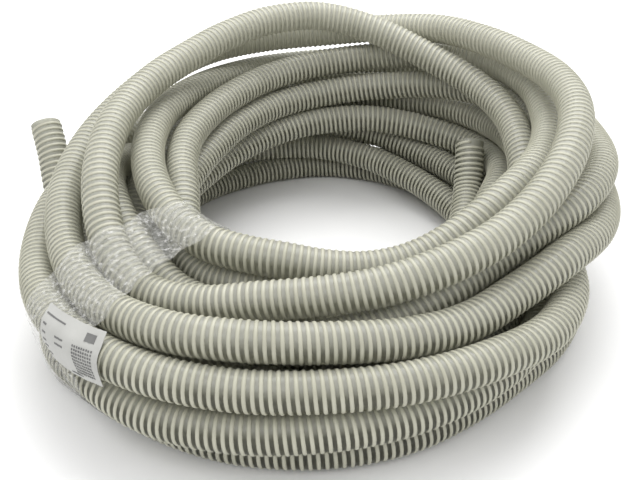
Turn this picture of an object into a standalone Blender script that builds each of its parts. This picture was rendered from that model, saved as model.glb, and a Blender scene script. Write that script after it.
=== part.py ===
"""A vacuum hose for a pool: spiral-reinforced suction hose, wound by hand into a loose round coil.

The hose is one continuous tube. It is divided into its laps, which meet face to face, so that
each solid is a simple bent tube. A band of stretch film ties the bundle at the front left, and a
paper label lies on the outside of the bundle there.

Run it with blender --background --python part.py, or from Blender's text editor.
"""

import math

import bmesh
import bpy
import numpy as np

# Driving dimensions, in metres.
HOSE_OD = 0.045          # over the helical rib
HOSE_BORE = 0.038        # the nominal size of the hose
GAP = 0.0003             # between two solids that meet
FILM_CLEARANCE = 0.0012  # between the film and the hose
FILM_THICKNESS = 0.0008  # several turns of stretch film
LABEL_THICKNESS = 0.0004
END_STRAIGHT = 0.008     # each solid's last stretch, square to its end face

# The section of each tube is a polygon inside the true circle.
SIDES = 8
FLAT = math.cos(math.pi / SIDES)     # distance to a flat, as a share of the distance to a corner

# The route of the hose, wound anticlockwise from the free end at the left. Each row is one lap
# as (distance from the coil's axis, height of the centreline), both in hose diameters, at eight
# stations: front left, front, front right, right, back right, back, back left, left.
LAPS = (
    ((7.6, 0.5), (7.5, 0.5), (6.9, 0.5), (7.35, 0.5), (8.4, 0.5), (9.6, 0.5), (9.1, 0.6), (6.8, 1.1)),
    ((8.15, 1.4), (7.7, 1.4), (7.05, 1.4), (6.85, 1.5), (8.8, 1.45), (9.5, 1.6), (7.1, 2.85), (6.3, 3.8)),
    ((5.5, 2.4), (4.9, 2.5), (5.35, 2.2), (6.1, 3.2), (7.4, 5.2), (7.5, 6.8), (6.2, 6.3), (6.15, 5.2)),
    ((6.35, 2.9), (5.75, 3.5), (6.15, 4.55), (7.05, 6.15), (7.6, 6.42), (8.4, 5.95), (7.4, 5.5), (7.45, 3.9)),
    ((7.5, 2.85), (6.8, 3.0), (6.6, 2.9), (8.25, 3.25), (9.6, 3.3), (9.4, 3.6), (8.0, 3.3), (8.1, 3.0)),
    ((8.25, 2.3), (7.6, 2.25), (7.35, 2.1), (6.75, 2.45), (9.0, 2.4), (9.8, 2.7), (8.5, 2.4), (7.1, 2.5)),
    ((7.1, 2.0), (5.95, 2.5), (5.7, 3.2), (7.7, 4.2), (9.9, 4.35), (8.85, 4.6), (6.5, 4.9), (5.1, 4.4)),
    ((4.4, 3.4), (4.0, 3.25), (4.9, 3.65), (6.4, 4.7), (8.45, 5.3), (7.95, 4.8), (5.6, 4.45), (4.2, 3.65)),
    ((4.5, 2.4), (3.9, 2.2), (4.6, 2.6), (7.0, 3.75), (8.25, 4.3), (7.6, 4.05), (5.4, 3.4), (4.65, 2.7)),
    ((4.05, 1.5), (4.55, 1.4), (4.1, 1.5), (4.8, 1.5), (8.05, 2.3), (7.4, 2.85), (5.85, 2.2), (5.1, 1.65)),
    ((5.0, 1.45), (5.6, 1.45), (5.1, 1.4), (5.8, 2.35), (8.25, 3.25), (8.45, 3.38), (6.45, 3.6), (5.65, 2.95)),
    ((6.05, 1.55), (6.65, 1.6), (6.05, 1.45), (5.85, 1.42), (7.45, 1.5), (8.3, 2.42), (7.35, 1.85), (6.1, 2.05)),
    ((5.5, 0.5), (5.25, 0.5), (4.8, 0.5), (5.25, 0.5), (6.5, 0.85), (8.35, 1.45), (8.1, 1.3), (5.75, 0.5)),
    ((6.55, 0.5), (6.35, 0.5), (5.85, 0.5), (6.3, 0.5), (7.5, 0.5), (8.5, 0.5), (7.5, 0.5), (4.75, 0.5)),
)
FIRST_STATION = 225.0    # degrees anticlockwise from the right, seen from above
STATION_STEP = 45.0

# The free end leans out behind the left side. The inner end goes once more round the coil's foot
# and rises at the right, between the laps: (degrees, distance from the axis, height).
FREE_END = (
    (159.6, 9.73, 4.32),
    (165.0, 8.7, 3.2),
    (174.0, 7.85, 2.0),
    (186.0, 7.65, 1.0),
    (203.0, 8.05, 0.5),
)
INNER_END = (
    (225.0, 4.4, 0.5),
    (270.0, 4.2, 0.5),
    (315.0, 3.75, 0.5),
    (360.0, 4.2, 0.5),
    (370.0, 4.8, 0.95),
    (378.0, 5.4, 1.45),
    (387.0, 6.15, 1.7),
    (393.0, 6.55, 2.25),
    (400.5, 6.85, 3.2),
)

# How finely the route is worked out, and how its touching laps are pushed apart.
ROUTE_STEP = 15.0        # degrees, the last run being shorter
FREE_END_STEP = 3.5      # degrees, up to FREE_END_LAST
FREE_END_LAST = 180.0
BETWEEN = 4              # places tested on each run between two route points
CLEARANCE = 1.025        # smallest distance between two laps' centrelines, in hose diameters
OTHER_LAP = 90.0         # degrees along the hose beyond which two stretches are kept apart
ROUNDS = 300
LOOK_AGAIN = 10          # rounds between two searches for stretches that are near each other
NEAR = 0.5               # how far apart such stretches still are, beyond CLEARANCE
CLOSE_ENOUGH = 0.005     # largest overlap left, in hose diameters

FREE_END_CUT = 169.5     # degrees: where the free end's own solid stops
LAP_CUT = 150.0          # degrees: where each lap hands over to the next

# The film wraps the bundle between these directions, in degrees, and is lofted between slices.
FILM_SLICES = (211.0, 214.0, 218.0, 222.0, 225.0, 229.0, 231.0)
FILM_AROUND = 72         # points round one slice
FACING_STEP = 2.5        # degrees between the directions tested for an outline
SEEN = 0.05              # a tested direction counts when it faces the place this much
FILM_LIFT = 0.11         # the bundle's foot is raised over the film, in hose diameters
LIFT_MIDDLE = 218.0
LIFT_FLAT = 14.0         # degrees each side at the full lift
LIFT_RAMP = 22.0         # degrees each side over which it dies away

# The label spans these directions, and these angles up from level round the bundle's section.
LABEL_SLICES = (218.0, 222.0, 225.0, 229.0, 233.5)
LABEL_ANGLES = (0.0, 5.0, 10.0, 15.0, 20.0, 25.0, 30.0)
LABEL_CLEARANCE = 0.0007  # between the label and the film under it

MATERIALS = {
    "hose_wall": ((0.58, 0.58, 0.52, 1.0), 0.38),
    "stretch_film": ((0.82, 0.82, 0.78, 1.0), 0.12),
    "label_paper": ((0.78, 0.78, 0.76, 1.0), 0.6),
}


def clear_scene():
    for thing in list(bpy.data.objects):
        bpy.data.objects.remove(thing)


def material(name):
    colour, roughness = MATERIALS[name]
    made = bpy.data.materials.new(name)
    made.use_nodes = True
    shader = made.node_tree.nodes["Principled BSDF"]
    shader.inputs["Base Color"].default_value = colour
    shader.inputs["Roughness"].default_value = roughness
    shader.inputs["Metallic"].default_value = 0.0
    return made


def route_controls():
    """The route's own points as rows of (unwound angle, distance from the axis, height)."""
    rows = list(FREE_END)
    for lap, stations in enumerate(LAPS):
        for station, (distance, height) in enumerate(stations):
            rows.append((FIRST_STATION + 360.0 * lap + STATION_STEP * station, distance, height))
    for angle, distance, height in INNER_END:
        rows.append((angle + 360.0 * len(LAPS), distance, height))
    return np.array(rows)


def route_angles(controls):
    last = controls[-1, 0]
    fine = np.arange(controls[0, 0], FREE_END_LAST, FREE_END_STEP)
    coarse = np.arange(FREE_END_LAST, last - ROUTE_STEP / 2, ROUTE_STEP)
    return np.concatenate((fine, coarse, (last,)))


def cubic(knots, values, places):
    """A smooth cubic curve through rows of values at the knots, read at the places."""
    slopes = np.empty_like(values)
    slopes[1:-1] = (values[2:] - values[:-2]) / (knots[2:] - knots[:-2])[:, None]
    slopes[0] = (values[1] - values[0]) / (knots[1] - knots[0])
    slopes[-1] = (values[-1] - values[-2]) / (knots[-1] - knots[-2])
    span = np.clip(np.searchsorted(knots, places, side="right") - 1, 0, len(knots) - 2)
    width = (knots[span + 1] - knots[span])[:, None]
    t = (places - knots[span])[:, None] / width
    return (
        (2 * t**3 - 3 * t**2 + 1) * values[span]
        + (t**3 - 2 * t**2 + t) * width * slopes[span]
        + (3 * t**2 - 2 * t**3) * values[span + 1]
        + (t**3 - t**2) * width * slopes[span + 1]
    )


def lowest_height(angles):
    """The least height of the centreline: half a diameter, and a little more over the film."""
    away = np.abs((angles - LIFT_MIDDLE + 180.0) % 360.0 - 180.0)
    ramp = np.clip((LIFT_FLAT + LIFT_RAMP - away) / LIFT_RAMP, 0.0, 1.0)
    return 0.5 + FILM_LIFT * ramp * ramp * (3.0 - 2.0 * ramp)


def near_pairs(tested, place):
    """Pairs of tested places on different laps that are near enough to touch soon."""
    apart = tested[:, None, :] - tested[None, :, :]
    near = (apart**2).sum(axis=2) < (CLEARANCE + NEAR) ** 2
    near &= place[None, :] - place[:, None] > OTHER_LAP
    return np.nonzero(near)


def settle(points, angles):
    """Pushes stretches of the hose that lie in each other apart, and keeps them off the floor."""
    points = points.copy()
    floor = lowest_height(angles)
    share = np.tile(np.arange(BETWEEN) / BETWEEN, len(points) - 1)
    run = np.repeat(np.arange(len(points) - 1), BETWEEN)
    place = angles[run] + share * (angles[run + 1] - angles[run])
    share = share[:, None]
    for turn in range(ROUNDS):
        points[:, 2] = np.maximum(points[:, 2], floor)
        tested = points[run] * (1 - share) + points[run + 1] * share
        if turn % LOOK_AGAIN == 0:
            one, other = near_pairs(tested, place)
        apart = tested[one] - tested[other]
        distance = np.linalg.norm(apart, axis=1)
        overlap = np.maximum(CLEARANCE - distance, 0.0)
        if overlap.max() < CLOSE_ENOUGH:
            break
        pull = apart * (overlap / np.maximum(distance, 1e-6))[:, None]
        push = np.zeros_like(tested)
        np.add.at(push, one, pull)
        np.add.at(push, other, -pull)
        hits = (overlap > 0).astype(float)
        touching = np.bincount(one, hits, len(tested)) + np.bincount(other, hits, len(tested))
        push /= np.maximum(touching, 1.0)[:, None]
        moved = np.zeros_like(points)
        np.add.at(moved, run, push * (1 - share))
        np.add.at(moved, run + 1, push * share)
        moved /= BETWEEN / 2
        spread = moved.copy()
        spread[1:-1] += (moved[:-2] + moved[2:]) / 2
        points += spread / 2
    points[:, 2] = np.maximum(points[:, 2], floor)
    return points


def hose_route():
    """The settled centreline in metres, centred over the origin, and each point's unwound angle."""
    controls = route_controls()
    angles = route_angles(controls)
    rows = cubic(controls[:, 0], controls, angles)
    turn = np.radians(angles)
    points = np.column_stack((rows[:, 1] * np.cos(turn), rows[:, 1] * np.sin(turn), rows[:, 2]))
    points = settle(points, angles)
    middle = (points.min(axis=0) + points.max(axis=0)) / 2
    points[:, :2] -= middle[:2]
    points[:, 2] -= 0.5 * (1.0 - FLAT)
    return points * HOSE_OD, angles, middle[:2] * HOSE_OD


def unit(vector):
    return vector / np.linalg.norm(vector)


def tangent(points, index):
    before = points[max(index - 1, 0)]
    after = points[min(index + 1, len(points) - 1)]
    return unit(after - before)


def solid_points(points, angles, first, last):
    """The centreline of one solid, from angle first to angle last, with square ends."""
    low = int(np.argmin(np.abs(angles - first)))
    high = int(np.argmin(np.abs(angles - last)))
    start_way = tangent(points, low)
    end_way = tangent(points, high)
    start_gap = GAP / 2 if low > 0 else 0.0
    end_gap = GAP / 2 if high < len(points) - 1 else 0.0
    line = [points[low] + start_way * start_gap, points[low] + start_way * END_STRAIGHT]
    line += list(points[low + 1 : high])
    line += [points[high] - end_way * END_STRAIGHT, points[high] - end_way * end_gap]
    return line


def tube(name, line, wall_material, collection):
    """A hollow tube along a line: a bevelled curve, made a mesh and given its wall."""
    curve = bpy.data.curves.new(name + "_line", "CURVE")
    curve.dimensions = "3D"
    curve.twist_mode = "Z_UP"
    curve.bevel_depth = HOSE_OD / 2
    curve.bevel_resolution = (SIDES - 4) // 2
    spline = curve.splines.new("POLY")
    spline.points.add(len(line) - 1)
    for point, place in zip(spline.points, line):
        point.co = (*place, 1.0)
        point.tilt = math.pi / SIDES
    guide = bpy.data.objects.new(name + "_guide", curve)
    collection.objects.link(guide)
    mesh = bpy.data.meshes.new_from_object(guide.evaluated_get(bpy.context.evaluated_depsgraph_get()))
    mesh.name = name
    made = bpy.data.objects.new(name, mesh)
    made.matrix_world = guide.matrix_world
    collection.objects.link(made)
    bpy.data.objects.remove(guide)
    mesh.materials.clear()
    mesh.materials.append(wall_material)
    wall = made.modifiers.new("wall", "SOLIDIFY")
    wall.thickness = (HOSE_OD - HOSE_BORE) / 2 * FLAT
    wall.offset = -1.0
    wall.use_even_offset = True
    mesh.shade_smooth()
    mesh.set_sharp_from_angle(angle=math.radians(30))
    return made


def crossings(points, direction):
    """Where the hose crosses the upright half-plane at a direction: (distance, height, stretch)."""
    turn = math.radians(direction)
    outward = np.array((math.cos(turn), math.sin(turn), 0.0))
    across = np.array((-math.sin(turn), math.cos(turn), 0.0))
    side = points @ across
    found = []
    for index in np.flatnonzero((side[:-1] < 0) & (side[1:] >= 0)):
        share = side[index] / (side[index] - side[index + 1])
        place = points[index] + share * (points[index + 1] - points[index])
        way = unit(points[index + 1] - points[index])
        if place @ outward > 0:
            found.append((place @ outward, place[2], 1.0 / abs(way @ across)))
    return np.array(found)


def skin_outline(found, clearance, around):
    """A tight outline round the crossings: (distance, height) at each angle in around, in degrees."""
    middle = (found[:, :2].min(axis=0) + found[:, :2].max(axis=0)) / 2
    facing = np.radians(np.arange(0.0, 360.0, FACING_STEP))
    normals = np.column_stack((np.cos(facing), np.sin(facing)))
    reach = (found[:, :2] - middle) @ normals.T + (found[:, 2] * HOSE_OD / 2 + clearance)[:, None]
    support = reach.max(axis=0)
    rows = []
    for angle in np.radians(around):
        toward = np.cos(facing - angle)
        seen = toward > SEEN
        distance = (support[seen] / toward[seen]).min()
        rows.append(middle + distance * np.array((math.cos(angle), math.sin(angle))))
    return np.array(rows)


def skin(name, axis_place, rings, directions, closed, thickness, skin_material, collection):
    """A thin solid lofted through outlines that stand at the given directions round the coil."""
    shape = bmesh.new()
    grid = []
    for ring, direction in zip(rings, directions):
        turn = math.radians(direction)
        row = []
        for distance, height in ring:
            x = axis_place[0] + distance * math.cos(turn)
            y = axis_place[1] + distance * math.sin(turn)
            row.append(shape.verts.new((x, y, height)))
        grid.append(row)
    count = len(grid[0])
    for near, far in zip(grid, grid[1:]):
        for index in range(count if closed else count - 1):
            after = (index + 1) % count
            shape.faces.new((near[index], near[after], far[after], far[index]))
    mesh = bpy.data.meshes.new(name)
    shape.to_mesh(mesh)
    shape.free()
    mesh.materials.append(skin_material)
    made = bpy.data.objects.new(name, mesh)
    collection.objects.link(made)
    body = made.modifiers.new("body", "SOLIDIFY")
    body.thickness = thickness
    body.offset = -1.0
    body.use_even_offset = True
    mesh.shade_smooth()
    return made


def build():
    clear_scene()
    collection = bpy.data.collections.new("vacuum_hose")
    bpy.context.scene.collection.children.link(collection)
    wall = material("hose_wall")
    points, angles, shift = hose_route()

    last = angles[-1]
    cuts = [angles[0], FREE_END_CUT]
    cuts += [LAP_CUT + 360.0 * lap for lap in range(1, len(LAPS) + 1)]
    cuts.append(last)
    names = ["hose_free_end"]
    names += [f"hose_lap_{lap:02d}" for lap in range(1, len(LAPS) + 1)]
    names.append("hose_inner_end")
    lines = []
    for name, low, high in zip(names, cuts, cuts[1:]):
        line = solid_points(points, angles, low, high)
        lines += line
        tube(name, line, wall, collection)

    # The skins go by the solids' own straight runs, seen from the coil's axis.
    axis_place = -np.array((shift[0], shift[1], 0.0))
    runs = np.array(lines) - axis_place
    around = np.arange(0.0, 360.0, 360.0 / FILM_AROUND)
    rings = [skin_outline(crossings(runs, at), FILM_CLEARANCE, around) for at in FILM_SLICES]
    film = material("stretch_film")
    skin("film_wrap", axis_place, rings, FILM_SLICES, True, FILM_THICKNESS, film, collection)

    over_film = FILM_CLEARANCE + FILM_THICKNESS + LABEL_CLEARANCE
    rings = [skin_outline(crossings(runs, at), over_film, LABEL_ANGLES) for at in LABEL_SLICES]
    paper = material("label_paper")
    skin("label", axis_place, rings, LABEL_SLICES, False, LABEL_THICKNESS, paper, collection)


build()
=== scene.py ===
"""The looks of a pool vacuum hose: spiral-reinforced hose in a loose coil, tied with stretch film."""

import math

import bpy
import numpy as np
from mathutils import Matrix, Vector


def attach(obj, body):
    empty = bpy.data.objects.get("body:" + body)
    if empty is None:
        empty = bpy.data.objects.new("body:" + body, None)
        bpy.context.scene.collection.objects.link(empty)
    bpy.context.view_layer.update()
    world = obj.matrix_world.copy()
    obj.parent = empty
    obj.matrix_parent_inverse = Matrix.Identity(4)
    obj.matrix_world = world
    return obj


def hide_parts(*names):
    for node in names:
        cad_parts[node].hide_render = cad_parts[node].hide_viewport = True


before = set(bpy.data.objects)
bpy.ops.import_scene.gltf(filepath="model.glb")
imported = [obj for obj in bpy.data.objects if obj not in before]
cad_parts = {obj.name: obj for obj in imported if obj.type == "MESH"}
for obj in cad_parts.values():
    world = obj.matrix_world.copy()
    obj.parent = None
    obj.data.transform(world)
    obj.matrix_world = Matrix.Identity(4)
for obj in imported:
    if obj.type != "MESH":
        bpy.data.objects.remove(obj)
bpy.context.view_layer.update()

# ------------------------------------------------------------------ sizes, in metres
HOSE_OD = 0.045          # over the rib
HOSE_BORE = 0.038
RIB_PITCH = 0.0084       # from one turn of the helix to the next
RIB_WIDTH = 0.0049
RIB_HEIGHT = 0.0013      # how far the rib stands out of the wall
RIB_ROOT = 0.0005        # how deep the rib's foot lies in the wall
WALL_RADIUS = HOSE_OD / 2 - RIB_HEIGHT
BORE_DEPTH = 0.16        # how far the open bore is modelled into each end

# The solids' eight-sided section stands on a flat at height 0, so the round hose reaches lower.
FLAT = math.cos(math.pi / 8)
FLOOR = -(1.0 - FLAT) * HOSE_OD / 2

# ------------------------------------------------------------------ the route, as in the solids
# Each lap is given as (distance from the coil's axis, height of the centreline), both in hose
# diameters, at front left, front, front right and right on its first line, and at back right,
# back, back left and left on its second.
LAPS = (
    (
        (7.6, 0.5), (7.5, 0.5), (6.9, 0.5), (7.35, 0.5),
        (8.4, 0.5), (9.6, 0.5), (9.1, 0.6), (6.8, 1.1),
    ),
    (
        (8.15, 1.4), (7.7, 1.4), (7.05, 1.4), (6.85, 1.5),
        (8.8, 1.45), (9.5, 1.6), (7.1, 2.85), (6.3, 3.8),
    ),
    (
        (5.5, 2.4), (4.9, 2.5), (5.35, 2.2), (6.1, 3.2),
        (7.4, 5.2), (7.5, 6.8), (6.2, 6.3), (6.15, 5.2),
    ),
    (
        (6.35, 2.9), (5.75, 3.5), (6.15, 4.55), (7.05, 6.15),
        (7.6, 6.42), (8.4, 5.95), (7.4, 5.5), (7.45, 3.9),
    ),
    (
        (7.5, 2.85), (6.8, 3.0), (6.6, 2.9), (8.25, 3.25),
        (9.6, 3.3), (9.4, 3.6), (8.0, 3.3), (8.1, 3.0),
    ),
    (
        (8.25, 2.3), (7.6, 2.25), (7.35, 2.1), (6.75, 2.45),
        (9.0, 2.4), (9.8, 2.7), (8.5, 2.4), (7.1, 2.5),
    ),
    (
        (7.1, 2.0), (5.95, 2.5), (5.7, 3.2), (7.7, 4.2),
        (9.9, 4.35), (8.85, 4.6), (6.5, 4.9), (5.1, 4.4),
    ),
    (
        (4.4, 3.4), (4.0, 3.25), (4.9, 3.65), (6.4, 4.7),
        (8.45, 5.3), (7.95, 4.8), (5.6, 4.45), (4.2, 3.65),
    ),
    (
        (4.5, 2.4), (3.9, 2.2), (4.6, 2.6), (7.0, 3.75),
        (8.25, 4.3), (7.6, 4.05), (5.4, 3.4), (4.65, 2.7),
    ),
    (
        (4.05, 1.5), (4.55, 1.4), (4.1, 1.5), (4.8, 1.5),
        (8.05, 2.3), (7.4, 2.85), (5.85, 2.2), (5.1, 1.65),
    ),
    (
        (5.0, 1.45), (5.6, 1.45), (5.1, 1.4), (5.8, 2.35),
        (8.25, 3.25), (8.45, 3.38), (6.45, 3.6), (5.65, 2.95),
    ),
    (
        (6.05, 1.55), (6.65, 1.6), (6.05, 1.45), (5.85, 1.42),
        (7.45, 1.5), (8.3, 2.42), (7.35, 1.85), (6.1, 2.05),
    ),
    (
        (5.5, 0.5), (5.25, 0.5), (4.8, 0.5), (5.25, 0.5),
        (6.5, 0.85), (8.35, 1.45), (8.1, 1.3), (5.75, 0.5),
    ),
    (
        (6.55, 0.5), (6.35, 0.5), (5.85, 0.5), (6.3, 0.5),
        (7.5, 0.5), (8.5, 0.5), (7.5, 0.5), (4.75, 0.5),
    ),
)
FIRST_STATION = 225.0    # degrees anticlockwise from the right, seen from above
STATION_STEP = 45.0
# The ends' own points: (degrees as above, distance from the coil's axis, height).
FREE_END = (
    (159.6, 9.73, 4.32),
    (165.0, 8.7, 3.2),
    (174.0, 7.85, 2.0),
    (186.0, 7.65, 1.0),
    (203.0, 8.05, 0.5),
)
INNER_END = (
    (225.0, 4.4, 0.5),
    (270.0, 4.2, 0.5),
    (315.0, 3.75, 0.5),
    (360.0, 4.2, 0.5),
    (370.0, 4.8, 0.95),
    (378.0, 5.4, 1.45),
    (387.0, 6.15, 1.7),
    (393.0, 6.55, 2.25),
    (400.5, 6.85, 3.2),
)

ROUTE_STEP = 15.0        # degrees, the last run being shorter
FREE_END_STEP = 3.5      # degrees, up to FREE_END_LAST
FREE_END_LAST = 180.0
BETWEEN = 4              # places tested on each run between two route points
CLEARANCE = 1.025        # distance kept between two laps' centrelines, in hose diameters
OTHER_LAP = 90.0         # degrees along the hose beyond which two stretches are kept apart
ROUNDS = 300
LOOK_AGAIN = 10          # rounds between two searches for stretches that are near each other
NEAR = 0.5               # how far apart such stretches still are, beyond CLEARANCE
CLOSE_ENOUGH = 0.005     # largest overlap left, in hose diameters
TINY = 1e-6              # stands in for a distance of nothing, which can't be divided by

FILM_LIFT = 0.11         # the bundle's foot is raised over the film, in hose diameters
LIFT_MIDDLE = 218.0
LIFT_FLAT = 14.0         # degrees each side at the full lift
LIFT_RAMP = 22.0         # degrees each side over which it dies away


def route_controls():
    """The route's own points as rows of (unwound angle, distance from the axis, height)."""
    rows = list(FREE_END)
    for lap, stations in enumerate(LAPS):
        for station, (distance, height) in enumerate(stations):
            rows.append((FIRST_STATION + 360.0 * lap + STATION_STEP * station, distance, height))
    for angle, distance, height in INNER_END:
        rows.append((angle + 360.0 * len(LAPS), distance, height))
    return np.array(rows)


def route_angles(controls):
    last = controls[-1, 0]
    fine = np.arange(controls[0, 0], FREE_END_LAST, FREE_END_STEP)
    coarse = np.arange(FREE_END_LAST, last - ROUTE_STEP / 2, ROUTE_STEP)
    return np.concatenate((fine, coarse, (last,)))


def cubic(knots, values, places):
    """A smooth cubic curve through rows of values at the knots, read at the places."""
    slopes = np.empty_like(values)
    slopes[1:-1] = (values[2:] - values[:-2]) / (knots[2:] - knots[:-2])[:, None]
    slopes[0] = (values[1] - values[0]) / (knots[1] - knots[0])
    slopes[-1] = (values[-1] - values[-2]) / (knots[-1] - knots[-2])
    span = np.clip(np.searchsorted(knots, places, side="right") - 1, 0, len(knots) - 2)
    width = (knots[span + 1] - knots[span])[:, None]
    t = (places - knots[span])[:, None] / width
    return (
        (2 * t**3 - 3 * t**2 + 1) * values[span]
        + (t**3 - 2 * t**2 + t) * width * slopes[span]
        + (3 * t**2 - 2 * t**3) * values[span + 1]
        + (t**3 - t**2) * width * slopes[span + 1]
    )


def lowest_height(angles):
    """The least height of the centreline: half a diameter, and a little more over the film."""
    away = np.abs((angles - LIFT_MIDDLE + 180.0) % 360.0 - 180.0)
    ramp = np.clip((LIFT_FLAT + LIFT_RAMP - away) / LIFT_RAMP, 0.0, 1.0)
    return 0.5 + FILM_LIFT * ramp * ramp * (3.0 - 2.0 * ramp)


def near_pairs(tested, place):
    """Pairs of tested places on different laps that are near enough to touch soon."""
    apart = tested[:, None, :] - tested[None, :, :]
    near = (apart**2).sum(axis=2) < (CLEARANCE + NEAR) ** 2
    near &= place[None, :] - place[:, None] > OTHER_LAP
    return np.nonzero(near)


def settle(points, angles):
    """Pushes stretches of the hose that lie in each other apart, and keeps them off the floor."""
    points = points.copy()
    floor = lowest_height(angles)
    share = np.tile(np.arange(BETWEEN) / BETWEEN, len(points) - 1)
    run = np.repeat(np.arange(len(points) - 1), BETWEEN)
    place = angles[run] + share * (angles[run + 1] - angles[run])
    share = share[:, None]
    for turn in range(ROUNDS):
        points[:, 2] = np.maximum(points[:, 2], floor)
        tested = points[run] * (1 - share) + points[run + 1] * share
        if turn % LOOK_AGAIN == 0:
            one, other = near_pairs(tested, place)
        apart = tested[one] - tested[other]
        distance = np.linalg.norm(apart, axis=1)
        overlap = np.maximum(CLEARANCE - distance, 0.0)
        if overlap.max() < CLOSE_ENOUGH:
            break
        pull = apart * (overlap / np.maximum(distance, TINY))[:, None]
        push = np.zeros_like(tested)
        np.add.at(push, one, pull)
        np.add.at(push, other, -pull)
        hits = (overlap > 0).astype(float)
        touching = np.bincount(one, hits, len(tested)) + np.bincount(other, hits, len(tested))
        push /= np.maximum(touching, 1.0)[:, None]
        moved = np.zeros_like(points)
        np.add.at(moved, run, push * (1 - share))
        np.add.at(moved, run + 1, push * share)
        moved /= BETWEEN / 2
        spread = moved.copy()
        spread[1:-1] += (moved[:-2] + moved[2:]) / 2
        points += spread / 2
    points[:, 2] = np.maximum(points[:, 2], floor)
    return points


def hose_route():
    """The settled route in metres over the origin, its unwound angles, and the coil's axis."""
    controls = route_controls()
    angles = route_angles(controls)
    rows = cubic(controls[:, 0], controls, angles)
    turn = np.radians(angles)
    points = np.column_stack((rows[:, 1] * np.cos(turn), rows[:, 1] * np.sin(turn), rows[:, 2]))
    points = settle(points, angles)
    middle = (points.min(axis=0) + points.max(axis=0)) / 2
    points[:, :2] -= middle[:2]
    points[:, 2] -= 0.5 * (1.0 - FLAT)
    return points * HOSE_OD, angles, -middle[:2] * HOSE_OD


route, route_at, axis_place = hose_route()


# ------------------------------------------------------------------ camera
# The camera stands this far behind, left of and above the foot of the coil's axis.
CAMERA_BACK = 21.3       # hose diameters, as the next two
CAMERA_LEFT = 0.2
CAMERA_HEIGHT = 14.18
CAMERA_PITCH = 30.0      # degrees below level
CAMERA_LENS = 45.43      # mm
CAMERA_SENSOR = 36.0     # mm
CAMERA_REACH = 50.0      # nothing farther off is drawn

camera_data = bpy.data.cameras.new("camera")
camera_data.lens = CAMERA_LENS
camera_data.sensor_width = CAMERA_SENSOR
camera_data.clip_end = CAMERA_REACH
camera = bpy.data.objects.new("camera", camera_data)
camera.location = (
    axis_place[0] - CAMERA_LEFT * HOSE_OD,
    axis_place[1] - CAMERA_BACK * HOSE_OD,
    CAMERA_HEIGHT * HOSE_OD + FLOOR,
)
camera.rotation_euler = (math.radians(90.0 - CAMERA_PITCH), 0.0, 0.0)
bpy.context.scene.collection.objects.link(camera)
bpy.context.scene.camera = camera


# ------------------------------------------------------------------ materials
PVC_IOR = 1.5
# The wall's colour is its look upward, its height and its blotches added up: the first two are
# painted light and shade, paler on top and high up, darker underneath and low down; the blotches are
# its own uneven tone.
UP_FROM = -0.2           # upward part of a face's direction at which the first share starts
UP_SHARE = 0.54          # painted top light for a face that looks straight up
PAINTED_HEIGHT_LIGHT = 0.54      # painted light at the top of the coil
BLOTCH_SHARE = 0.12
COIL_TOP = 0.32          # metres, about
WALL_THROUGH = 0.5       # share of the wall's light that comes through it


def new_material(name):
    made = bpy.data.materials.new(name)
    made.use_nodes = True
    return made, made.node_tree, made.node_tree.nodes["Principled BSDF"]


def texture_point(tree):
    return tree.nodes.new("ShaderNodeTexCoord").outputs["Object"]


def noise(tree, scale, detail=3.0, roughness=0.55):
    node = tree.nodes.new("ShaderNodeTexNoise")
    node.inputs["Scale"].default_value = scale
    node.inputs["Detail"].default_value = detail
    node.inputs["Roughness"].default_value = roughness
    tree.links.new(texture_point(tree), node.inputs["Vector"])
    return node.outputs["Fac"]


def ramp(tree, source, stops):
    """The source's value turned into a colour; a stop is a value and its red, green and blue."""
    node = tree.nodes.new("ShaderNodeValToRGB")
    marks = node.color_ramp.elements
    marks[0].position = stops[0][0]
    marks[1].position = stops[-1][0]
    for place, _ in stops[1:-1]:
        marks.new(place)
    for mark, (_, colour) in zip(marks, stops):
        mark.color = (*colour, 1.0)
    tree.links.new(source, node.inputs["Fac"])
    return node.outputs["Color"]


def ranged(tree, source, low, high, start=0.0, end=1.0):
    """low to high as the source goes from start to end."""
    node = tree.nodes.new("ShaderNodeMapRange")
    node.inputs["From Min"].default_value = start
    node.inputs["From Max"].default_value = end
    node.inputs["To Min"].default_value = low
    node.inputs["To Max"].default_value = high
    tree.links.new(source, node.inputs["Value"])
    return node.outputs["Result"]


def bump(tree, shader, source, distance, strength):
    node = tree.nodes.new("ShaderNodeBump")
    node.inputs["Distance"].default_value = distance
    node.inputs["Strength"].default_value = strength
    tree.links.new(source, node.inputs["Height"])
    tree.links.new(node.outputs["Normal"], shader.inputs["Normal"])


def upright(tree, source):
    """The upright part of a place or a direction."""
    parts = tree.nodes.new("ShaderNodeSeparateXYZ")
    tree.links.new(source, parts.inputs["Vector"])
    return parts.outputs["Z"]


def upward(tree):
    """Painted light from above: how far a face looks up, 0 from a little below level, UP_SHARE for a
    level top.
    """
    facing = tree.nodes.new("ShaderNodeNewGeometry").outputs["Normal"]
    return ranged(tree, upright(tree, facing), 0.0, UP_SHARE, start=UP_FROM)


def painted_light_by_height(tree):
    """Painted light by height: 0 at the floor, 1 at the top of the coil."""
    return ranged(tree, upright(tree, texture_point(tree)), 0.0, 1.0, end=COIL_TOP)


def weighted(tree, source, weight, added):
    """source times weight, plus added."""
    node = tree.nodes.new("ShaderNodeMath")
    node.operation = "MULTIPLY_ADD"
    tree.links.new(source, node.inputs[0])
    node.inputs[1].default_value = weight
    tree.links.new(added, node.inputs[2])
    return node.outputs["Value"]


def mixed(tree, first, second):
    """Makes the surface a mix of two shaders, and returns the socket of the second's share."""
    both = tree.nodes.new("ShaderNodeMixShader")
    tree.links.new(first.outputs["BSDF"], both.inputs[1])
    tree.links.new(second.outputs["BSDF"], both.inputs[2])
    tree.links.new(both.outputs["Shader"], tree.nodes["Material Output"].inputs["Surface"])
    return both.inputs["Fac"]


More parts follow.
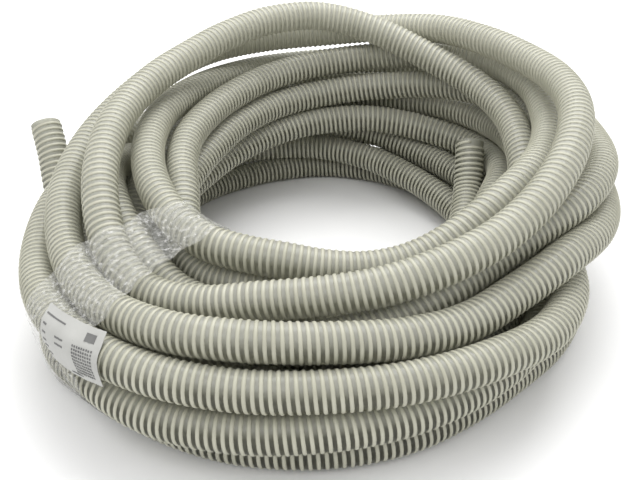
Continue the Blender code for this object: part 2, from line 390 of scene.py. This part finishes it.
def rib_material():
    """Rigid cream PVC: slightly blotchy, with fine scuffs on a satin face."""
    made, tree, shader = new_material("rib_pvc")
    colour = ramp(tree, noise(tree, scale=22.0, detail=4.0), (
        (0.30, (0.37, 0.366, 0.288)),
        (0.55, (0.42, 0.415, 0.332)),
        (0.80, (0.47, 0.465, 0.38)),
    ))
    tree.links.new(colour, shader.inputs["Base Color"])
    scuffs = ranged(tree, noise(tree, scale=160.0), 0.34, 0.52)
    tree.links.new(scuffs, shader.inputs["Roughness"])
    shader.inputs["IOR"].default_value = PVC_IOR
    bump(tree, shader, noise(tree, scale=900.0, detail=2.0), distance=0.0002, strength=0.15)
    return made


def wall_material():
    """Soft translucent PVC with painted shade and light: dark low down and underneath, paler higher
    up and on top.
    """
    made, tree, shader = new_material("wall_pvc")
    # Painted light and shade from above: faces that look up or stand high are paler; the noise
    # blotches are the wall's own uneven tone.
    blotches_and_painted_top_light = weighted(tree, noise(tree, scale=14.0, detail=4.0), BLOTCH_SHARE, upward(tree))
    painted_light_and_blotches = weighted(tree, painted_light_by_height(tree), PAINTED_HEIGHT_LIGHT, blotches_and_painted_top_light)
    colour = ramp(tree, painted_light_and_blotches, (
        (0.30, (0.04, 0.04, 0.03)),
        (0.47, (0.08, 0.08, 0.063)),
        (0.58, (0.27, 0.27, 0.228)),
        (0.72, (0.42, 0.42, 0.372)),
        (0.92, (0.52, 0.52, 0.47)),
    ))
    tree.links.new(colour, shader.inputs["Base Color"])
    scuffs = ranged(tree, noise(tree, scale=120.0), 0.16, 0.30)
    tree.links.new(scuffs, shader.inputs["Roughness"])
    shader.inputs["IOR"].default_value = PVC_IOR
    bump(tree, shader, noise(tree, scale=420.0, detail=3.0), distance=0.0003, strength=0.22)
    through = tree.nodes.new("ShaderNodeBsdfTranslucent")
    through.inputs["Color"].default_value = (0.86, 0.86, 0.76, 1.0)
    mixed(tree, shader, through).default_value = WALL_THROUGH
    return made


# ------------------------------------------------------------------ the hose
LINE_STEP = 1.0          # degrees round the coil between two points of the smooth line
WALL_SIDES = 28
BORE_ROWS = 12
SHARP_ANGLE = math.radians(50)
RIB_SEGMENTS = 20        # of one turn
RIB_MARGIN = 0.3         # turns of the rib left off at each end of the hose, at least
SHOULDER_OUT = 0.78      # of the rib's half width
SHOULDER_UP = 0.62       # of the rib's height
# The rib's section: (share of its half width, height over the wall).
RIB_SECTION = (
    (-1.0, -RIB_ROOT),
    (-SHOULDER_OUT, RIB_HEIGHT * SHOULDER_UP),
    (0.0, RIB_HEIGHT),
    (SHOULDER_OUT, RIB_HEIGHT * SHOULDER_UP),
    (1.0, -RIB_ROOT),
)


class Centreline:
    """The smooth line of the hose, read by its length from the free end."""

    def __init__(self, rows, angles):
        places = np.arange(angles[0], angles[-1], LINE_STEP)
        self.points = cubic(angles, rows, np.append(places, angles[-1]))
        self.points[:, 2] = np.maximum(self.points[:, 2], FLOOR + HOSE_OD / 2)
        steps = np.linalg.norm(np.diff(self.points, axis=0), axis=1)
        self.reach = np.concatenate(((0.0,), np.cumsum(steps)))
        self.length = self.reach[-1]
        ways = np.gradient(self.points, self.reach, axis=0)
        self.ways = ways / np.linalg.norm(ways, axis=1)[:, None]

    def at(self, length):
        """Places, directions, and two directions across the hose: upward and sideways."""
        place = self.read(self.points, length)
        way = self.read(self.ways, length)
        way /= np.linalg.norm(way, axis=1)[:, None]
        side = np.cross(way, (0.0, 0.0, 1.0))
        side /= np.linalg.norm(side, axis=1)[:, None]
        return place, way, np.cross(side, way), side

    def read(self, rows, length):
        return np.column_stack([np.interp(length, self.reach, column) for column in rows.T])


def mesh_object(name, points, faces, made_of):
    mesh = bpy.data.meshes.new(name)
    mesh.from_pydata(points.tolist(), [], faces)
    mesh.materials.append(made_of)
    mesh.shade_smooth()
    made = bpy.data.objects.new(name, mesh)
    bpy.context.scene.collection.objects.link(made)
    return made


def loop_faces(rows, count):
    """Quads of a grid of rows of count points, each row closed on itself."""
    row = np.arange(rows - 1)[:, None] * count
    near = np.arange(count)[None, :]
    after = (near + 1) % count
    corners = (row + near, row + after, row + count + after, row + count + near)
    return np.stack(corners, axis=-1).reshape(-1, 4)


def hose_wall(line, made_of):
    """One tube over the whole length, with an open bore at both ends."""
    lengths = np.linspace(0.0, line.length, int(line.length / RIB_PITCH))
    bore = np.linspace(0.0, BORE_DEPTH, BORE_ROWS)
    inner = HOSE_BORE / 2
    rows = [(reach, inner) for reach in bore[::-1]]
    rows += [(reach, WALL_RADIUS) for reach in lengths]
    rows += [(line.length - reach, inner) for reach in bore]
    reach = np.array([row[0] for row in rows])
    radius = np.array([row[1] for row in rows])
    place, _, up, side = line.at(reach)
    turn = np.linspace(0.0, 2 * math.pi, WALL_SIDES, endpoint=False)
    out = up[:, None, :] * np.cos(turn)[None, :, None]
    out += side[:, None, :] * np.sin(turn)[None, :, None]
    points = (place[:, None, :] + out * radius[:, None, None]).reshape(-1, 3)
    quads = loop_faces(len(rows), WALL_SIDES)[:, ::-1].tolist()
    quads.append(list(range(WALL_SIDES)))
    last = (len(rows) - 1) * WALL_SIDES
    quads.append([last + index for index in range(WALL_SIDES - 1, -1, -1)])
    made = mesh_object("hose_wall", points, quads, made_of)
    made.data.set_sharp_from_angle(angle=SHARP_ANGLE)
    return made


def rib(name, line, first, last, made_of):
    """The helical rib from one number of turns to another, both counted from the free end."""
    turns = np.arange(first * RIB_SEGMENTS, last * RIB_SEGMENTS + 1) / RIB_SEGMENTS
    place, way, up, side = line.at(turns * RIB_PITCH)
    spin = turns * 2 * math.pi
    out = up * np.cos(spin)[:, None] + side * np.sin(spin)[:, None]
    rows = [
        place + out * (WALL_RADIUS + height) + way * (share * RIB_WIDTH / 2)
        for share, height in RIB_SECTION
    ]
    count = len(RIB_SECTION)
    points = np.stack(rows, axis=1).reshape(-1, 3)
    quads = loop_faces(len(turns), count).tolist()
    quads.append(list(range(count - 1, -1, -1)))
    quads.append([(len(turns) - 1) * count + index for index in range(count)])
    return mesh_object(name, points, quads, made_of)


line = Centreline(route, route_at)
wall = hose_wall(line, wall_material())
cream = rib_material()
whole_turns = int(line.length / RIB_PITCH - RIB_MARGIN)
cuts = np.linspace(0, whole_turns, len(LAPS) + 1).astype(int).tolist()
starts = [RIB_MARGIN, *cuts[1:-1]]
ribs = [
    rib(f"rib_{lap:02d}", line, first, last, cream)
    for lap, (first, last) in enumerate(zip(starts, cuts[1:]), start=1)
]

hose_nodes = sorted(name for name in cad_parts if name.startswith("hose_"))
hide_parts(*hose_nodes)
for piece in (wall, *ribs):
    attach(piece, "root")


# ------------------------------------------------------------------ film and label
FILM_FROM = 211.0        # degrees round the coil
FILM_TO = 231.0
FILM_ROWS = 61           # of points, along the coil
FILM_AROUND = 360        # points round the bundle in each row
FILM_CLEARANCE = 0.0012  # between the hose and the film where a crease dips
FILM_THICKNESS = 0.0004
WRINKLE = 0.0014         # height of the creases, about
CREASE_MIDDLE = 0.5      # how far out a place between crest and dip lies, as a share of WRINKLE
CREASE_SHARE = 0.3       # of WRINKLE that one unit of crease moves the film in or out
SECOND_WAVE = 0.6        # size of the second set of creases beside the first
RAGGED = 0.12            # share of the sleeve's width that each edge is drawn in, at most

# The label's corners: (degrees round the coil, degrees up from level round the bundle's section).
LABEL_TOP_LEFT = (218.6, 23.0)
LABEL_TOP_RIGHT = (233.1, 29.0)
LABEL_LOW_LEFT = (223.0, 0.5)
LABEL_LOW_RIGHT = (235.6, 4.0)
LABEL_OUT = 0.0027       # from the hose to the back of the label
LABEL_THICKNESS = 0.0003
PRINT_THICKNESS = 0.0004
SCUFF = 0.1              # how much rougher the paper and the ink get where they are scuffed
SHEET_GRID = (40, 30)    # points across and down the label
BAR_GRID = (5, 3)
DOT_GRID = (2, 2)
FACING_STEP = 2.5        # degrees between the directions tested for an outline
SEEN = 0.05              # cosine from which a tested direction can bound the outline at an angle

# The print that stands in for the label's: (left, right, top, bottom), in shares of the label.
LONG_BARS = ((0.04, 0.42, 0.14, 0.165), (0.50, 0.70, 0.93, 0.95))
BLOCK = (0.76, 0.90, 0.12, 0.27)
BAR_HEIGHT = 0.03
LEFT_BARS = (0.05, 0.12)
LEFT_BAR_TOPS = (0.30, 0.44, 0.57, 0.68, 0.84)
MIDDLE_BARS = (0.32, 0.46)
MIDDLE_BAR_TOPS = (0.39, 0.50)
DOTS = 9                 # in each row and in each column
DOTS_PLACE = (0.62, 0.38)
DOT_STEP = (0.034, 0.06)
DOT_SIZE = (0.02, 0.035)


def unit_ways(angles):
    """Directions of length 1 at angles in degrees."""
    turn = np.radians(angles)
    return np.column_stack((np.cos(turn), np.sin(turn)))


def crossings(direction):
    """Where the hose crosses the upright half-plane at a direction: (distance, height, stretch)."""
    turn = math.radians(direction)
    outward = np.array((math.cos(turn), math.sin(turn), 0.0))
    across = np.array((-math.sin(turn), math.cos(turn), 0.0))
    points = line.points - (axis_place[0], axis_place[1], 0.0)
    side = points @ across
    index = np.flatnonzero((side[:-1] < 0) & (side[1:] >= 0) & (points[:-1] @ outward > 0))
    slope = np.abs(line.ways[index] @ across)
    return np.column_stack((points[index] @ outward, points[index, 2], 1.0 / slope))


def skin_outline(direction, around):
    """A tight outline round the crossings: (distance, height) at each angle in around, in degrees."""
    found = crossings(direction)
    middle = (found[:, :2].min(axis=0) + found[:, :2].max(axis=0)) / 2
    facing = np.arange(0.0, 360.0, FACING_STEP)
    reach = (found[:, :2] - middle) @ unit_ways(facing).T + (found[:, 2] * HOSE_OD / 2)[:, None]
    support = reach.max(axis=0)
    toward = np.cos(np.radians(facing)[None, :] - np.radians(around)[:, None])
    distance = np.where(toward > SEEN, support / np.maximum(toward, SEEN), np.inf).min(axis=1)
    return middle + distance[:, None] * unit_ways(around)


def stand(direction, outline, around, lift):
    """Points of an outline, lifted off it, on the upright half-plane at a direction."""
    distance, height = (outline + unit_ways(around) * np.reshape(lift, (-1, 1))).T
    turn = math.radians(direction)
    x = axis_place[0] + distance * math.cos(turn)
    y = axis_place[1] + distance * math.sin(turn)
    return np.column_stack((x, y, np.maximum(height, FLOOR)))


def film_material():
    """Clear stretch film: mostly seen through, hazy along its creases with painted glints there, and
    glossy.
    """
    made, tree, shader = new_material("clear_film")
    creases = noise(tree, scale=190.0, detail=6.0, roughness=0.72)
    # The paler colour along the creases is painted glints; the haze mixed in below is the film's own
    # clouding there.
    colour = ramp(tree, creases, (
        (0.50, (0.60, 0.60, 0.56)),
        (0.68, (0.88, 0.88, 0.86)),
    ))
    tree.links.new(colour, shader.inputs["Base Color"])
    scuffs = ranged(tree, noise(tree, scale=90.0), 0.08, 0.22)
    tree.links.new(scuffs, shader.inputs["Roughness"])
    bump(tree, shader, creases, distance=0.003, strength=0.7)
    haze = ramp(tree, creases, (
        (0.35, (0.06, 0.06, 0.06)),
        (0.55, (0.17, 0.17, 0.17)),
        (0.63, (0.34, 0.34, 0.34)),
        (0.80, (0.50, 0.50, 0.50)),
    ))
    clear = tree.nodes.new("ShaderNodeBsdfTransparent")
    tree.links.new(haze, mixed(tree, clear, shader))
    return made


def uneven(phase, slow, slow_start, fast, fast_start):
    """0 to 1 round the sleeve: a slow and a fast wave, given as waves in a round and a start."""
    return 0.5 + 0.3 * np.sin(slow * phase + slow_start) + 0.2 * np.sin(fast * phase + fast_start)


def ragged(rows, around):
    """The rows drawn in from both edges of the sleeve by an uneven amount round it."""
    phase = np.radians(around)
    first = RAGGED * uneven(phase, 5, 0.6, 13, 0.0)
    last = RAGGED * uneven(phase, 4, 2.1, 17, 0.8)
    share = np.linspace(0.0, 1.0, len(rows))[:, None]
    place = (first + share * (1.0 - first - last)) * (len(rows) - 1)
    low = np.minimum(place.astype(int), len(rows) - 2)
    part = (place - low)[:, :, None]
    column = np.arange(len(around))[None, :]
    return rows[low, column] * (1.0 - part) + rows[low + 1, column] * part


def crease(row, phase):
    """Waves round the sleeve that drift from row to row; their counts share no factor."""
    first = np.sin(11 * phase + 0.21 * row) * np.sin(0.37 * row + 3 * phase)
    return first + SECOND_WAVE * np.sin(23 * phase - 0.33 * row + 2 * np.sin(0.19 * row))


def film_sleeve(made_of):
    """A creased sleeve round the bundle, with an outer and an inner face."""
    around = np.linspace(0.0, 360.0, FILM_AROUND, endpoint=False)
    directions = np.linspace(FILM_FROM, FILM_TO, FILM_ROWS)
    outer = []
    inner = []
    for row, direction in enumerate(directions):
        outline = skin_outline(direction, around)
        wave = crease(row, np.radians(around))
        lift = FILM_CLEARANCE + WRINKLE * (CREASE_MIDDLE + CREASE_SHARE * wave)
        outer.append(stand(direction, outline, around, lift + FILM_THICKNESS))
        inner.append(stand(direction, outline, around, lift))
    outer = ragged(np.array(outer), around)
    inner = ragged(np.array(inner), around)
    rows = [*outer, *inner[::-1]]
    count = len(around)
    first = np.arange(count)
    after = (first + 1) % count
    last = (len(rows) - 1) * count
    closing = np.stack((last + first, last + after, after, first), axis=-1)
    quads = np.concatenate((loop_faces(len(rows), count), closing)).tolist()
    return mesh_object("stretch_film", np.concatenate(rows), quads, made_of)


def label_place(across, down):
    """The direction and the angle up of a place on the label, given as shares of it."""
    top = np.array(LABEL_TOP_LEFT) * (1.0 - across) + np.array(LABEL_TOP_RIGHT) * across
    low = np.array(LABEL_LOW_LEFT) * (1.0 - across) + np.array(LABEL_LOW_RIGHT) * across
    return top * (1.0 - down) + low * down


def plate(left, right, top, bottom, low, high, grid):
    """A thin plate from low to high over the hose; the first four are shares of the label."""
    columns, steps = grid
    rows = []
    for across in np.linspace(left, right, columns):
        front = []
        back = []
        for down in np.linspace(top, bottom, steps):
            direction, angle = label_place(across, down)
            outline = skin_outline(direction, np.array((angle,)))
            front.append(stand(direction, outline, (angle,), high)[0])
            back.append(stand(direction, outline, (angle,), low)[0])
        rows.append(np.array(front + back[::-1]))
    count = 2 * steps
    quads = loop_faces(len(rows), count).tolist()
    last = (len(rows) - 1) * count
    for index in range(steps - 1):
        near = (index, index + 1, count - 2 - index, count - 1 - index)
        quads.append(list(near[::-1]))
        quads.append([last + corner for corner in near])
    return np.concatenate(rows), quads


def joined(plates):
    """The points and faces of several plates as those of one mesh."""
    faces = []
    start = 0
    for points, quads in plates:
        faces += [[start + corner for corner in quad] for quad in quads]
        start += len(points)
    return np.concatenate([points for points, _ in plates]), faces


def plain_material(name, dark, pale, scale, roughness):
    """A nearly even colour between a dark and a pale one, with fine scuffs."""
    made, tree, shader = new_material(name)
    colour = ramp(tree, noise(tree, scale=scale, detail=4.0), ((0.35, dark), (0.70, pale)))
    tree.links.new(colour, shader.inputs["Base Color"])
    scuffs = ranged(tree, noise(tree, scale=3 * scale), roughness, roughness + SCUFF)
    tree.links.new(scuffs, shader.inputs["Roughness"])
    return made


def label_dots():
    """An even grid of dots, as (left, right, top, bottom) in shares of the label."""
    for across in range(DOTS):
        for down in range(DOTS):
            left = DOTS_PLACE[0] + DOT_STEP[0] * across
            top = DOTS_PLACE[1] + DOT_STEP[1] * down
            yield left, left + DOT_SIZE[0], top, top + DOT_SIZE[1]


def label_print():
    """Plain bars, a small block and an even grid of dots stand in for the label's printing."""
    bars = [*LONG_BARS, BLOCK]
    bars += [(*LEFT_BARS, top, top + BAR_HEIGHT) for top in LEFT_BAR_TOPS]
    bars += [(*MIDDLE_BARS, top, top + BAR_HEIGHT) for top in MIDDLE_BAR_TOPS]
    low = LABEL_OUT + LABEL_THICKNESS
    high = low + PRINT_THICKNESS
    plates = [plate(*bar, low, high, BAR_GRID) for bar in bars]
    plates += [plate(*dot, low, high, DOT_GRID) for dot in label_dots()]
    return joined(plates)


film = film_sleeve(film_material())
paper = plain_material("label_paper", (0.38, 0.38, 0.36), (0.43, 0.43, 0.41), 30.0, 0.4)
ink = plain_material("label_ink", (0.10, 0.10, 0.10), (0.15, 0.15, 0.145), 60.0, 0.5)
sheet = plate(0.0, 1.0, 0.0, 1.0, LABEL_OUT, LABEL_OUT + LABEL_THICKNESS, SHEET_GRID)
label = mesh_object("paper_label", *sheet, paper)
printing = mesh_object("label_print", *label_print(), ink)
for piece in (label, printing):
    piece.data.set_sharp_from_angle(angle=SHARP_ANGLE)
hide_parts("film_wrap")
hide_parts("label")
for piece in (film, label, printing):
    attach(piece, "root")


# ------------------------------------------------------------------ floor and light
STAGE_SIZE = 12.0
STAGE_BACK = 2.0         # the stage's middle lies this far behind the coil's
STAGE_GAP = 0.0003       # between the stage and the hose
SKY_COLOUR = (1.0, 1.0, 1.0, 1.0)
SKY_STRENGTH = 0.98


def stage_material():
    """A matt, nearly white floor."""
    made, tree, shader = new_material("studio_floor")
    shade = ranged(tree, noise(tree, scale=3.0), 0.86, 0.88)
    tree.links.new(shade, shader.inputs["Base Color"])
    shader.inputs["Roughness"].default_value = 0.8
    return made


def area_light(name, place, aim, size, power):
    """A rectangular light at a place in metres, turned to its aim, with its power in watts."""
    data = bpy.data.lights.new(name, "AREA")
    data.shape = "RECTANGLE"
    data.size, data.size_y = size
    data.energy = power
    made = bpy.data.objects.new(name, data)
    made.location = place
    way = Vector(aim) - Vector(place)
    made.rotation_euler = way.to_track_quat("-Z", "Y").to_euler()
    bpy.context.scene.collection.objects.link(made)


bpy.ops.mesh.primitive_plane_add(size=STAGE_SIZE, location=(0.0, STAGE_BACK, FLOOR - STAGE_GAP))
floor = bpy.context.object
floor.name = "floor"
floor.data.materials.append(stage_material())

area_light("key_light", place=(-0.6, -1.2, 1.9), aim=(0.0, 0.0, 0.1), size=(1.6, 1.0), power=10.0)
area_light("top_light", place=(0.2, 0.9, 2.2), aim=(0.0, 0.1, 0.1), size=(2.4, 1.6), power=54.0)

world = bpy.data.worlds.new("studio")
world.use_nodes = True
sky = world.node_tree.nodes["Background"]
sky.inputs["Color"].default_value = SKY_COLOUR
sky.inputs["Strength"].default_value = SKY_STRENGTH
bpy.context.scene.world = world
bpy.context.scene.view_settings.view_transform = "Standard"
